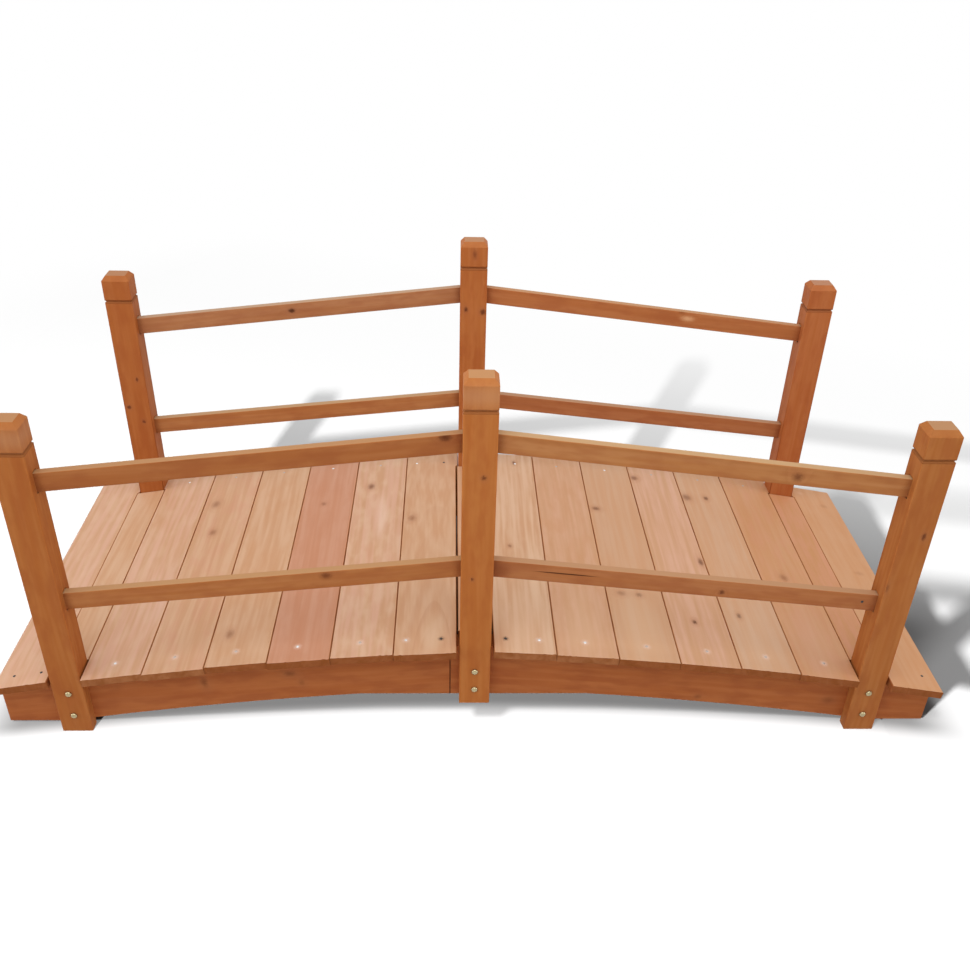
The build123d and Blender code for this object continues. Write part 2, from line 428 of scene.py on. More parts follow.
# Deck boards
NAIL_LINE = 258.0  # of the nails, from the bridge's middle plane
BRIGHT_NAILS = {"front": (-544, -267, -104, 97, 167), "back": (-545, -265, -103, 87, 263)}
DULL_NAILS = {
    "front": (-453, -360, -173, 262, 356, 449, 542),
    "back": (-454, -360, -173, 168, 356, 449, 542),
}
DARK_NAILS = {"front": (-700, -658, -51, 46, 704), "back": (-51, 46)}
RUSTY_NAILS = (-51, 46)  # front nails that have stained the wood
TAN = "#C99973"
PALE = "#D9B494"
ROSY = "#CC8F73"
OCHRE = "#C48D60"
PINK = "#DDB09A"
SAGE = "#CCA586"
BRICK = "#C38867"
DECK = {
    "ground": TAN,
    "streak": PALE,
    "streaks": 0.5,
    "blotch": ROSY,
    "blotches": 0.35,
    "line": "#B57C55",
    "lines": 0.09,
    "ring": 9.0,
    "top": TAN,
    "top_sheen_share": 0.0,
    "end": TAN,
    "ends": 0.0,
    "roughness": (0.46, 0.58),
    "gloss": 0.25,
    "tint": (0.975, 0.975, 0.99),
}
SAWN_ENDS = {"ground": "#90522C", "streak": "#9B5C34", "blotch": "#84481F", "blotches": 0.6, "gloss": 0.03}
PALER_ENDS = {**SAWN_ENDS, "ground": "#9A5F38", "streak": "#AB7047"}
# The eased edges are painted darker: stain gathered there, and painted shade that thickens the dark lines
# between the boards
EASED_EDGE_STAIN_AND_SHADE = {"ground": "#AE7247", "streak": "#BC8558", "blotch": "#95562F", "blotches": 0.7, "gloss": 0.1}
PALER_ENDED = ("left_plank_6", "left_plank_5", "right_plank_1", "right_plank_2")
BOARDS = {  # what differs from the common look, how far the log's heart is to the right, and the grain's dive
    "left_end_plank": ({"streak": PINK, "blotch": PALE}, 40, 0.0),
    "left_post_plank": ({"streak": PALE, "blotch": OCHRE, "blotches": 0.3}, -30, 0.0),
    "left_plank_6": ({"streak": PINK, "blotch": PALE}, 30, 0.0),
    "left_plank_5": ({"streak": PALE, "blotch": ROSY, "blotches": 0.35}, -45, 0.0),
    "left_plank_4": ({"streak": PALE, "blotch": OCHRE, "blotches": 0.3}, 15, 0.0),
    "left_plank_3": ({"ground": BRICK, "streak": "#CC9A7E", "streaks": 0.6, "blotch": "#BF8260"}, 60, 0.0),
    "left_plank_2": ({"streak": PINK, "blotch": PALE, "blotches": 0.6}, -20, 0.0),
    "left_plank_1": ({"streak": PALE, "blotch": TAN, "lines": 0.2, "ring": 10.0}, 12, -0.13),
    "middle_plank": ({}, 20, 0.0),
    "right_plank_1": ({"streak": PALE, "streaks": 0.8, "blotch": PALE, "lines": 0.16}, 48, 0.0),
    "right_plank_2": ({"streak": "#D6A88C", "blotch": OCHRE, "blotches": 0.35}, -8, 0.0),
    "right_plank_3": ({"streak": SAGE, "blotch": TAN}, 32, 0.0),
    "right_plank_4": ({"streak": PINK, "streaks": 0.5, "blotch": TAN}, -38, 0.0),
    "right_plank_5": ({"streak": SAGE, "streaks": 0.7, "blotch": TAN}, 26, 0.0),
    "right_plank_6": ({"ground": OCHRE, "streak": TAN, "blotch": ROSY, "blotches": 0.3}, -16, 0.0),
    "right_post_plank": ({"ground": "#C08858", "streak": ROSY, "streaks": 0.4}, 8, 0.0),
    "right_end_plank": ({"ground": OCHRE, "streak": TAN, "blotch": TAN}, -34, 0.0),
}
DECK_KNOTS = {  # x, y, half width, half length, share of brown and share of a dark heart
    "left_plank_5": [(-475, 166, 9, 14, 0.5, 0), (-462, 72, 8, 11, 0.5, 0)],
    "left_plank_4": [(-377, -216, 8, 13, 0.5, 0)],
    "left_plank_3": [(-270, 134, 6, 7, 0.5, 0)],
    "left_plank_2": [(-186, 183, 8, 12, 0.6, 0.25)],
    "left_plank_1": [(-106, 70, 8, 12, 0.5, 0)],
    "right_plank_1": [(85, 261, 4, 9, 0.7, 0.4), (64, -17, 4, 6, 0.6, 0)],
    "right_plank_3": [(229, 118, 9, 8, 0.6, 0.3), (241, -130, 9, 8, 0.5, 0), (270, -131, 7, 7, 0.55, 0.2)],
    "right_plank_4": [(319, 239, 9, 10, 0.6, 0.2), (351, -189, 5, 7, 0.7, 0.6), (396, -23, 6, 14, 0.6, 0.4)],
    "right_plank_5": [(413, 187, 12, 14, 0.5, 0.2), (452, 192, 6, 9, 0.6, 0.5), (430, -163, 5, 8, 0.7, 0.5)],
    "right_plank_6": [(540, -41, 9, 12, 0.5, 0)],
}
DECK_STAINS_AND_PAINTED_LIGHT = {  # x, y, half width, half length, share and tone
    "left_end_plank": [(-712, 264, 12, 12, 0.35, ROSY)],
    "left_plank_6": [(-508, -84, 11, 150, 0.75, "#E6C0AE")],
    "left_plank_2": [(-160, 80, 14, 120, 0.6, "#E8C6B0"), (-176, -60, 10, 90, 0.4, ROSY)],
    "left_plank_1": [(-62, -246, 22, 66, 0.65, "#DEBD9B"), (-40, 40, 9, 170, 0.5, PALE)],
    # The wide pale patches near the front of the right boards, at y -220 and -230, are painted light: the
    # deck's front right painted brighter
    "right_plank_1": [(100, -120, 14, 130, 0.5, "#DDBB99"), (72, -230, 60, 150, 0.35, "#E4BC98")],
    "right_plank_2": [(168, -220, 60, 150, 0.35, "#E4BC98")],
    "right_plank_3": [(258, -220, 60, 150, 0.4, "#E0BA96")],
    "right_plank_5": [(440, -220, 60, 140, 0.3, "#DDBA9A")],
    "right_plank_6": [(540, -220, 60, 150, 0.35, "#CFA68A")],
    "right_end_plank": [
        (694, 5, 14, 9, 0.4, "#A0683F"),
        (699, 225, 12, 10, 0.4, "#A0683F"),
        (661, 262, 12, 10, 0.4, PINK),
    ],
}
HEART_DEPTHS = (55, 66, 77, 88, 99)  # of the logs' hearts below the boards, in turn
DIVING_HEART_DEPTH = 14  # where the grain dives

# How far a board's sawn ends stop short
BACK_TRIMS = {"right_end_plank": 10.0}
FRONT_TRIMS = {
    "left_end_plank": 9.0,
    "left_plank_6": 2.5,
    "left_plank_4": 2.5,
    "left_plank_2": 1.5,
    "right_plank_1": 2.0,
    "right_plank_2": 0.8,
    "right_plank_5": 1.0,
}
EARS = {  # which long edge of a board reaches out to a back post
    "left_end_plank": 1,
    "left_plank_6": -1,
    "left_plank_1": 1,
    "right_plank_1": -1,
    "right_plank_6": 1,
    "right_end_plank": -1,
}
EAR_WIDTH = 3.7
EAR_STARTS = (242.5, 246.0)  # from the bridge's middle plane: where an ear begins, and where it is whole
EAR_BAND = 1.5  # how much of a board's width an ear pulls out
SWELLING = 0.5  # of a board's long edges, which leaves narrower gaps
EDGE_BAND = 1.3  # how much of a board's width moves with a swollen edge
PLAIN_END = 30.0  # how much of the bridge's length at each end stays unswollen
STATIONS = 30  # across a board's sawn end
SAW_WANDER = 0.25
SAW_WAVE = 14.0  # width of one bend of the saw's way
SAW_SEED_STEP = 3.1
EDGE_WEAR = 0.3  # of the front ends' top edges
CHIP_DEPTH = 2.2
CHIP_WIDTH = 5.0
CHIP_LEVEL = 0.12  # of the noise, below which nothing is chipped
CHIP_SEED_STEP = 1.7
AT_END = 0.1  # how near a vertex is to an end or a cut that it lies on
SCUFF_MARK = (9, 9, 0.6, "#E2C7B8")  # round a front nail: half width, half length, share and tone
RUST_MARK = (7, 7, 0.9, STAIN_TONE)
DECK_SEED_STEP = 2.3
EASED_FACING = (0.4, 0.9)  # how far the faces of eased edges look sideways
END_FACING = 0.6  # how far, at least, the faces of sawn ends look along the board


def board_axes(bm):
    """The way up and the way across a board, from its widest face, which is the underside."""
    under = max(bm.faces, key=lambda face: face.calc_area())
    up = -under.normal
    return up, Vector((up.z, 0, -up.x))


def swell(bm, middle, across, width):
    """Moves a board's long edges outwards, except at the bridge's ends."""
    limit = cad_box[1][0] - PLAIN_END * MM
    for vert in bm.verts:
        place = (vert.co - middle).dot(across)
        if abs(place) > width / 2 - EDGE_BAND * MM and abs(vert.co.x) < limit:
            vert.co += across * SWELLING * MM * (1 if place > 0 else -1)


def add_ear(bm, middle, across, width, way):
    """Pulls out one long edge of a board beside a back post, so that it reaches to the post."""
    for start in EAR_STARTS:
        cut(bm, (0, start * MM, 0), (0, 1, 0))
    edge = width / 2 - EAR_BAND * MM
    whole = (EAR_STARTS[1] - AT_END) * MM
    for vert in bm.verts:
        if vert.co.y > whole and (vert.co - middle).dot(across) * way > edge:
            vert.co += across * way * EAR_WIDTH * MM


def saw_ends(bm, node, middle, across, up, seed):
    """Trims a board's ends along a way that wanders a little, and chips the front one's top edge."""
    reach = max(v.co.y for v in bm.verts)
    for vert in bm.verts:
        end = 1 if vert.co.y > 0 else -1
        if abs(vert.co.y) < reach - AT_END * MM:
            continue
        place = (vert.co - middle).dot(across) / MM
        trim = BACK_TRIMS.get(node, 0.0) if end > 0 else FRONT_TRIMS.get(node, 0.0)
        trim += SAW_WANDER * (1 + noise.noise((place / SAW_WAVE, seed * SAW_SEED_STEP, end)))
        if end < 0 and (vert.co - middle).dot(up) > 0:
            chipped = noise.noise((place / CHIP_WIDTH, seed * CHIP_SEED_STEP, end * 2)) - CHIP_LEVEL
            trim += EDGE_WEAR + CHIP_DEPTH * max(0, chipped)
        vert.co.y -= end * trim * MM


def dressed_board(node, seed):
    """A deck board with swollen edges and sawn, chipped ends."""
    bm = whole_faces(node)
    up, across = board_axes(bm)
    middle = Vector([v * MM for v in node_middle(node)])
    width = max((v.co - middle).dot(across) for v in bm.verts) * 2
    for station in range(1, STATIONS):
        cut(bm, middle + across * (station / STATIONS - 0.5) * width, across)
    swell(bm, middle, across, width)
    if node in EARS:
        add_ear(bm, middle, across, width, EARS[node])
    saw_ends(bm, node, middle, across, up, seed)
    bm.normal_update()
    return bm


def deck_top(x):
    """The height, in mm, and the normal of the deck's surface at a place along the bridge."""
    for node in BOARDS:
        low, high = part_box(node)
        if low[0] < x * MM < high[0]:
            faces = whole_faces(node)
            up = board_axes(faces)[0]
            top = max(faces.faces, key=lambda face: face.calc_center_median().dot(up))
            middle = top.calc_center_median() / MM
            faces.free()
            return middle.z - (x - middle.x) * up.x / up.z, up
    raise ValueError(x)


def board_marks(node):
    """A board's knots, stains and painted light, and the marks that its front nails have left."""
    low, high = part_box(node)
    z = node_middle(node)[2]
    marks = [knot(x, y, deck_top(x)[0], *rest) for x, y, *rest in DECK_KNOTS.get(node, [])]
    marks += [stain(x, y, z, *rest) for x, y, *rest in DECK_STAINS_AND_PAINTED_LIGHT.get(node, [])]
    for x in DULL_NAILS["front"] + BRIGHT_NAILS["front"]:
        if low[0] < x * MM < high[0]:
            marks.append(stain(x, -NAIL_LINE, deck_top(x)[0], *SCUFF_MARK))
    for x in RUSTY_NAILS:
        if low[0] < x * MM < high[0]:
            marks.append(stain(x, -NAIL_LINE, deck_top(x)[0], *RUST_MARK))
    return marks


def board_face_kind(face):
    """0 for a board's broad faces, 1 for its sawn ends and sides, and 2 for the eased edges between."""
    sideways, along = abs(face.normal.x), abs(face.normal.y)
    low, high = EASED_FACING
    if low < sideways < high:
        return 2
    return int(along > END_FACING or sideways > high)


def make_deck():
    """The boards, each from its own log, with its knots and its tone."""
    grain = (0, 1, 0)
    sawn = stained_wood("sawn_spruce_end", grain, (0, 0, 0), {**DECK, **SAWN_ENDS}, seed=3.7)
    paler = stained_wood("sawn_spruce_end_paler", grain, (0, 0, 0), {**DECK, **PALER_ENDS}, seed=5.1)
    eased = stained_wood("eased_spruce_edge_stain_and_shade", grain, (0, 0, 0), {**DECK, **EASED_EDGE_STAIN_AND_SHADE}, seed=6.3)
    for seed, (node, (changes, heart_offset, dive)) in enumerate(BOARDS.items()):
        x, _, z = node_middle(node)
        depth = DIVING_HEART_DEPTH if dive else HEART_DEPTHS[seed % len(HEART_DEPTHS)]
        heart = (x + heart_offset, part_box(node)[0][1] / MM, z - depth)
        look = {**DECK, **changes}
        name = "stained_spruce_" + node
        material = stained_wood(name, (0, 1, dive), heart, look, seed * DECK_SEED_STEP, board_marks(node))
        bm = dressed_board(node, seed)
        for face in bm.faces:
            face.material_index = board_face_kind(face)
        ends = paler if node in PALER_ENDED else sawn
        new_piece(node + "_board", bm, [material, ends, eased], node)


# Railing and stringers
POST_WOOD = {
    "ground": "#B1672E",
    "streak": "#BD773C",
    "streaks": 0.6,
    "blotch": "#A85C2A",
    "blotches": 0.6,
    "line": "#8C4D1F",
    "lines": 0.14,
    "ring": 6.0,
    # Painted sheen: faces that look up take the top tone, by the share that follows
    "top": "#BA895A",
    "top_sheen_share": 0.9,
    "end": "#B4713A",
    "ends": 0.55,
    "roughness": (0.48, 0.6),
    "gloss": 0.06,
}
RAIL_WOOD = {
    **POST_WOOD,
    "ground": "#AC693A",
    "streak": "#B8794A",
    "blotch": "#A15D35",
    "line": "#874A24",
    # The painted sheen on the rails' top faces
    "top": "#BD9168",
}
STRINGER_WOOD = {
    **POST_WOOD,
    "ground": "#A85E2E",
    "streak": "#B46C3A",
    "blotch": "#995129",
    "line": "#82441F",
    "top_sheen_share": 0.0,
}
TINTS = {  # how much red, green and blue a piece keeps of the common look
    "front_left_post": (0.88, 0.87, 0.97),
    "front_middle_post": (0.99, 0.99, 1.08),
    "front_right_post": (0.89, 0.93, 1.12),
    "back_left_post": (0.89, 0.85, 1.05),
    "back_middle_post": (0.95, 0.93, 1.17),
    "back_right_post": (0.94, 0.89, 1.25),
    "front_left_top_rail": (0.88, 0.83, 0.78),
    "front_left_lower_rail": (0.97, 0.97, 0.94),
    "front_right_top_rail": (1.04, 1.17, 1.24),
    "front_right_lower_rail": (0.96, 0.96, 1.05),
    "back_left_top_rail": (0.98, 1.14, 1.5),
    "back_left_lower_rail": (1.01, 1.1, 1.19),
    "back_right_top_rail": (1.02, 0.99, 1.05),
    "back_right_lower_rail": (0.92, 0.91, 1.07),
    "front_left_stringer": (1.0, 1.0, 1.12),
    "front_right_stringer": (1.0, 1.0, 1.12),
}
# Knots: the place, half width, half length and, where they differ, the shares of brown and of a dark heart
POST_KNOTS = {
    "front_middle_post": [(6, -280, 467, 5, 5), (-7, -280, 298, 3, 4)],
    "front_right_post": [(625, -280, 375, 4, 8), (595, -280, 284, 3, 9, 0.45, 0)],
    "back_middle_post": [(-13, 242, 491, 5, 6), (17, 242, 487, 7, 7), (1, 242, 591, 5, 10, 0.55, 0)],
    "back_left_post": [(-629, 242, 292, 5, 5), (-607, 242, 262, 4, 5), (-606, 242, 348, 3, 5)],
}
RAIL_KNOTS = {
    "front_left_top_rail": [(-46, -267, 522, 9, 12, 0.8, 0.3)],
    "front_left_lower_rail": [(-215, -267, 294, 8, 11, 0.75, 0)],
    "front_right_top_rail": [(433, -267, 464, 9, 10, 0.75, 0)],
    "front_right_lower_rail": [(358, -267, 266, 6, 6)],
    "back_left_top_rail": [(-319, 254, 480, 6, 8, 0.9, 0.8)],
    "back_right_lower_rail": [(381, 254, 287, 5, 10)],
}
STRINGER_KNOTS = {
    "front_left_stringer": [
        (-414, -262, 84, 15, 7, 0.6),
        (-282, -262, 102, 7, 11, 0.7),
        (-265, -262, 84, 9, 6, 0.4),
    ],
    "front_right_stringer": [(353, -262, 54, 6, 8, 0.5), (563, -262, 46, 8, 12, 0.5)],
}
RAIL_STAINS = {  # the place, half width, half length, share and tone
    "front_right_lower_rail": [(36, -267, 306, 22, 18, 0.5, "#7E4020")],
    "back_right_top_rail": [(384, 254, 474, 8, 20, 0.8, "#D8A878"), (372, 254, 487, 6, 10, 0.5, "#6E3614")],
}
RAIL_CRACKS = {"front_right_lower_rail": [(128, -267, 298.4, 1.5, 60)]}
GROOVE_DROP = 45.0  # from a post's top to its groove's middle
HEAD_HEIGHT = 52.0  # to just below the groove
HEAD_EASE = 1.2  # rounded edges of the heads
PALE_HEADS = ("front_left_post", "front_middle_post")
MORTISE_DEPTH = 12.0
END_BAND = 0.5  # how much of a piece's length counts as its end
JOINT_EASE = 1.0  # eased edges of the stringers
JOINT_DIRT_AND_SHADE_TONE = "#4A2410"  # dirt and painted shade in the stringers' butt joint
SHOULDER_STAIN_AND_SHADE_TONE = "#7A3E1E"  # stain gathered against the posts, and painted shade there
EVERYWHERE = 4000.0  # half width of a mark that goes right round a piece

# Marks that repeat: half width, half length, share and tone
# Stain and painted shade round each bolt
BOLT_STAIN_AND_SHADE = (9, 9, 0.6, STAIN_TONE)
# Shade painted into the posts' grooves
GROOVE_PAINTED_SHADE = (EVERYWHERE, 4.4, 0.8, "#6E3614")
HEAD_MARK = (EVERYWHERE, 30, 0.3, "#CDA075")
# Stain and painted shade where a rail goes into its post
SHOULDER_STAIN_AND_SHADE = (EVERYWHERE, 15, 0.5, SHOULDER_STAIN_AND_SHADE_TONE)

# Hearts of the logs: how far to the right of the posts and above the rails, in turn, and how far behind
POST_HEARTS = (26, 17, 8, -1, -10)
POST_HEART_BEHIND = 30
RAIL_HEARTS = (-34, -21, -8, 5)
RAIL_HEART_BEHIND = 22
STRINGER_HEART = -20
STRINGER_HEART_BEHIND = 60
FIRST_FRAME_SEED = 40
FRAME_SEED_STEP = 1.9


def long_way(node):
    """The way a rail or a stringer runs, from the middle of its left end to the middle of its right end."""
    places = [vert.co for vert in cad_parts[node].data.vertices]
    ends = []
    for x in (corner[0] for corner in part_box(node)):
        there = [place for place in places if abs(place.x - x) < END_BAND * MM]
        ends.append(sum(there, Vector()) / len(there))
    return (ends[1] - ends[0]).normalized()


def dressed_post(node):
    """A post whose head has softly rounded edges, as sanding leaves them."""
    bm = whole_faces(node)
    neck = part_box(node)[1][2] - HEAD_HEIGHT * MM
    sharp = [edge for edge in bm.edges if edge.calc_face_angle(0) > SHARP_ANGLE]
    ease(bm, [edge for edge in sharp if min(v.co.z for v in edge.verts) > neck], HEAD_EASE)
    return bm


def dressed_stringer(node):
    """A stringer with eased edges, so that the butt joint shows."""
    bm = whole_faces(node)
    ease(bm, [edge for edge in bm.edges if edge.calc_face_angle(0) > SHARP_ANGLE], JOINT_EASE)
    return bm


def rail_shoulders(node):
    """The places where a rail goes into its posts."""
    low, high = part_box(node)
    x, y, z = node_middle(node)
    way = long_way(node)
    reach = (high[0] - low[0]) / 2 / MM - MORTISE_DEPTH
    return [(x + end * reach, y, z + end * reach * way.z / way.x) for end in (-1, 1)]


def frame_knot(x, y, z, across, along, share=0.75, heart=0.35):
    """A knot in the frame, where the stain makes it darker."""
    return knot(x, y, z, across, along, share, heart, FRAME_KNOT_TONE)


def frame_wood(node, grain, heart, look, seed, marks):
    """The wood of one piece of the frame, with its own tint."""
    look = {**look, "tint": TINTS.get(node, (1, 1, 1))}
    return stained_wood("stained_spruce_" + node, grain, heart, look, seed * FRAME_SEED_STEP, marks)


def make_post(side, place, seed):
    """A post, with stain and painted shade round its bolts, and painted shade in its groove."""
    node = f"{side}_{place}_post"
    x, y, _ = node_middle(node)
    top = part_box(node)[1][2] / MM
    marks = [frame_knot(*mark) for mark in POST_KNOTS.get(node, [])]
    marks += [stain(*bolt, *BOLT_STAIN_AND_SHADE) for bolt in bolt_places(side, place)]
    # Painted shade in the groove
    marks.append(crack(x, y, top - GROOVE_DROP, *GROOVE_PAINTED_SHADE))
    if node in PALE_HEADS:
        marks.append(stain(x, y, top - GROOVE_DROP / 2, *HEAD_MARK))
    heart = (x + POST_HEARTS[seed % len(POST_HEARTS)], y + POST_HEART_BEHIND, 0)
    material = frame_wood(node, (0, 0, 1), heart, POST_WOOD, seed, marks)
    new_piece(node + "_dressed", dressed_post(node), [material], node)


def make_rail(node, seed):
    """A rail, with stain and painted shade where it goes into its posts."""
    x, y, z = node_middle(node)
    marks = [frame_knot(*mark) for mark in RAIL_KNOTS.get(node, [])]
    marks += [stain(*mark) for mark in RAIL_STAINS.get(node, [])]
    marks += [crack(*mark) for mark in RAIL_CRACKS.get(node, [])]
    marks += [stain(*end, *SHOULDER_STAIN_AND_SHADE) for end in rail_shoulders(node)]
    heart = (x, y + RAIL_HEART_BEHIND, z + RAIL_HEARTS[seed % len(RAIL_HEARTS)])
    material = frame_wood(node, long_way(node), heart, RAIL_WOOD, seed, marks)
    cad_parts[node].material_slots[0].material = material


def make_stringer(side, half, seed, dirt_and_shade):
    """A stringer, with dirt and painted shade on the end where it meets the other half's."""
    node = f"{side}_{half}_stringer"
    x, y, z = node_middle(node)
    marks = [knot(*mark) for mark in STRINGER_KNOTS.get(node, [])]
    heart = (x, y + STRINGER_HEART_BEHIND, z + STRINGER_HEART)
    material = frame_wood(node, long_way(node), heart, STRINGER_WOOD, seed, marks)
    bm = dressed_stringer(node)
    low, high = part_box(node)
    joint = (high if half == "left" else low)[0]
    for face in bm.faces:
        face.material_index = int(abs(face.calc_center_median().x - joint) < JOINT_EASE * MM)
    new_piece(node + "_dressed", bm, [material, dirt_and_shade], node)


def make_frame_wood():
    """Posts, rails and stringers, each cut from its own log."""
    # The joint's faces are painted dark: dirt, and painted shade in the joint
    look = {**STRINGER_WOOD, "ground": JOINT_DIRT_AND_SHADE_TONE, "streak": SHOULDER_STAIN_AND_SHADE_TONE, "blotch": JOINT_DIRT_AND_SHADE_TONE}
    dirt_and_shade = stained_wood("spruce_joint_dirt_and_shade", (1, 0, 0), (0, 0, 0), look, seed=8.3)
    seeds = count(FIRST_FRAME_SEED)
    for side in SIDES:
        for place in PLACES:
            make_post(side, place, next(seeds))
        for half in HALVES:
            for rail in RAILS:
                make_rail(f"{side}_{half}_{rail}", next(seeds))
            make_stringer(side, half, next(seeds), dirt_and_shade)


# Fittings
BOLT_RADIUS = 5.0
BOLT_HEIGHT = 3.6
BOLT_STEPS = 20
WASHER_RADIUS = 8.0
WASHER_HEIGHT = 1.2
WASHER_STEPS = 24
NUT_RADIUS = 5.8
NUT_HEIGHT = 5.0
NUT_SIDES = 6
SHANK_RADIUS = 3.0
SHANK_END = 9.0  # of the bolt's end, from the wood
SHANK_STEPS = 16
NAIL_RADIUS = 2.2
NAIL_HEIGHT = 0.7
NAIL_STEPS = 14
SCREW_RADIUS = 3.6
SCREW_HEIGHT = 1.8
SCREW_STEPS = 16
RIM_SHARE = 1 / 9  # of a domed head's height
END_BOLT_HEIGHTS = (77.5, 33.0)
MIDDLE_BOLT_HEIGHTS = (122.4, 86.7)
RAIL_NAIL = (570, 249)  # x and height, in the front right lower rail's face
PLATE_SCREWS = (-68, -30, 30, 68)


def bolt_places(side, place):
    """Where the bolts' heads sit on a post's outer face."""
    node = f"{side}_{place}_post"
    low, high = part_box(node)
    face = (low if side == "front" else high)[1] / MM
    heights = MIDDLE_BOLT_HEIGHTS if place == "middle" else END_BOLT_HEIGHTS
    return [(node_middle(node)[0], face, height) for height in heights]


def turned(bm, profile, place, axis, steps):
    """Spins a profile of (radius, height) pairs into a closed round piece at a place along an axis."""
    verts = [bm.verts.new((radius * MM, 0, height * MM)) for radius, height in profile]
    edges = [bm.edges.new(pair) for pair in zip(verts, verts[1:])]
    before = set(bm.verts) - set(verts)
    bmesh.ops.spin(
        bm,
        geom=verts + edges,
        cent=(0, 0, 0),
        axis=(0, 0, 1),
        angle=2 * pi,
        steps=steps,
        use_merge=True,
    )
    made = [v for v in bm.verts if v not in before]
    bmesh.ops.remove_doubles(bm, verts=made, dist=TOUCH_DISTANCE * MM)
    made = [v for v in bm.verts if v not in before]
    turn = Vector((0, 0, 1)).rotation_difference(Vector(axis)).to_matrix().to_4x4()
    bmesh.ops.transform(bm, matrix=Matrix.Translation(Vector(place) * MM) @ turn, verts=made)


def dome(radius, height, rings=5):
    """The profile of a domed head that stands on a flat face: a rim, then a quarter of an oval."""
    turns = [pi / 2 * step / rings for step in range(rings + 1)]
    rim = height * RIM_SHARE
    return [(0, 0), (radius, 0)] + [(radius * cos(t), rim + (height - rim) * sin(t)) for t in turns]


def disc(radius, height):
    """The profile of a flat round piece."""
    return [(0, 0), (radius, 0), (radius, height), (0, height)]


def finished(name, bm, material):
    """Turns round pieces into one piece of the bridge's steel."""
    bmesh.ops.recalc_face_normals(bm, faces=bm.faces)
    return new_piece(name, bm, [material])


def make_bolts(material):
    """Coach bolts through the posts' feet: domed heads outside, washers and nuts inside the stringers."""
    for side, sign in SIDES.items():
        inside = min(abs(corner[1]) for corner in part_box(f"{side}_left_stringer")) / MM
        for place in PLACES:
            bm = bmesh.new()
            for x, face, height in bolt_places(side, place):
                turned(bm, dome(BOLT_RADIUS, BOLT_HEIGHT), (x, face, height), (0, sign, 0), BOLT_STEPS)
                seat = (x, sign * inside, height)
                turned(bm, disc(WASHER_RADIUS, WASHER_HEIGHT), seat, (0, -sign, 0), WASHER_STEPS)
                top = (x, sign * (inside - WASHER_HEIGHT), height)
                turned(bm, disc(NUT_RADIUS, NUT_HEIGHT), top, (0, -sign, 0), NUT_SIDES)
                end = (x, sign * (inside - WASHER_HEIGHT - NUT_HEIGHT), height)
                reach = SHANK_END - WASHER_HEIGHT - NUT_HEIGHT
                turned(bm, disc(SHANK_RADIUS, reach), end, (0, -sign, 0), SHANK_STEPS)
            finished(f"{side}_{place}_bolts", bm, material)


def make_nails(name, places, material):
    """Nails through the boards into the stringers, and the one in a rail's face among the dark ones."""
    head = dome(NAIL_RADIUS, NAIL_HEIGHT)
    for side, sign in SIDES.items():
        bm = bmesh.new()
        for x in places[side]:
            height, up = deck_top(x)
            turned(bm, head, (x, sign * NAIL_LINE, height), up, NAIL_STEPS)
        if name == "dark" and side == "front":
            x, height = RAIL_NAIL
            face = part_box("front_right_lower_rail")[0][1] / MM
            turned(bm, head, (x, face, height), (0, -1, 0), NAIL_STEPS)
        finished(f"{side}_{name}_nails", bm, material)


def make_plate_screws(material):
    """Screws that hold the joining plates under the stringers."""
    head = dome(SCREW_RADIUS, SCREW_HEIGHT)
    for side in SIDES:
        x, y, _ = node_middle(f"{side}_joining_plate")
        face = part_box(f"{side}_joining_plate")[0][2] / MM
        bm = bmesh.new()
        for offset in PLATE_SCREWS:
            turned(bm, head, (x + offset, y, face), (0, 0, -1), SCREW_STEPS)
        finished(f"{side}_plate_screws", bm, material)


# Floor, light and camera
FLOOR_HALF = 16000
FLOOR_TONE = 0.22  # which the floor's own lamps light until it looks pale
FLOOR_BOUNCE = 0.15  # the floor's tone for the light that it throws back at the bridge
WHITE_DISTANCES = (1500, 2300)  # from the bridge's middle, where the floor turns white
FADE_DISTANCES = (400, 1600)  # along the shadow, where it fades into white
SHADOW_WAY = (0.43, 0.90, 0)  # the way the railing's shadow falls

# A shadow painted on the floor under the bridge, by where its front edge, sides and back fade out
PAINTED_SHADOW = 0.37  # of the floor's tone
PAINTED_SHADOW_FRONT = (-250, -210)
PAINTED_SHADOW_BOW = 0.11  # how far the front edge bows forward, in metres, a metre from the middle
PAINTED_SHADOW_SIDES = (700, 800)
PAINTED_SHADOW_BACK = (100, 400)

# A place on each edge of the floor's right part, and the way from there into it
RIGHT_FLOOR_EDGES = (((660, 0, 0), (1, 0, 0)), ((0, -350, 0), (0, 1, 0)), ((0, 460, 0), (0, -1, 0)))

# Light: the strength of the room, and places, widths and watts of the soft lamps
ROOM_LIGHT = 0.45
CEILING_PLACE = (-150, -1100, 2750)
CEILING_WIDTH = 3000
CEILING_WATTS = 65.0
FILL_PLACES = ((-3200, -300, 500), (3200, -300, 500))
FILL_WIDTH = 2000
FILL_WATTS = 44.0

# The floor's own lamps, with the sizes and strengths that give the shadow its edges and its tone
SHADOW_LAMP_PLACE = (-1217, -2835, 1780)
SHADOW_LAMP_RADIUS = 35
SHADOW_LAMP_STRENGTH = 209.0
HIGH_LAMP_WAY = (-25, -30, 60)  # to the high lamp
HIGH_LAMP_ANGLE = radians(10)
HIGH_LAMP_STRENGTH = 7.2
RIGHT_HIGH_LAMP_STRENGTH = 2.9
SIDE_LAMP_WAY = (-64, -54, 41)  # to the side lamp
SIDE_LAMP_ANGLE = radians(5)
SIDE_LAMP_STRENGTH = 25.0

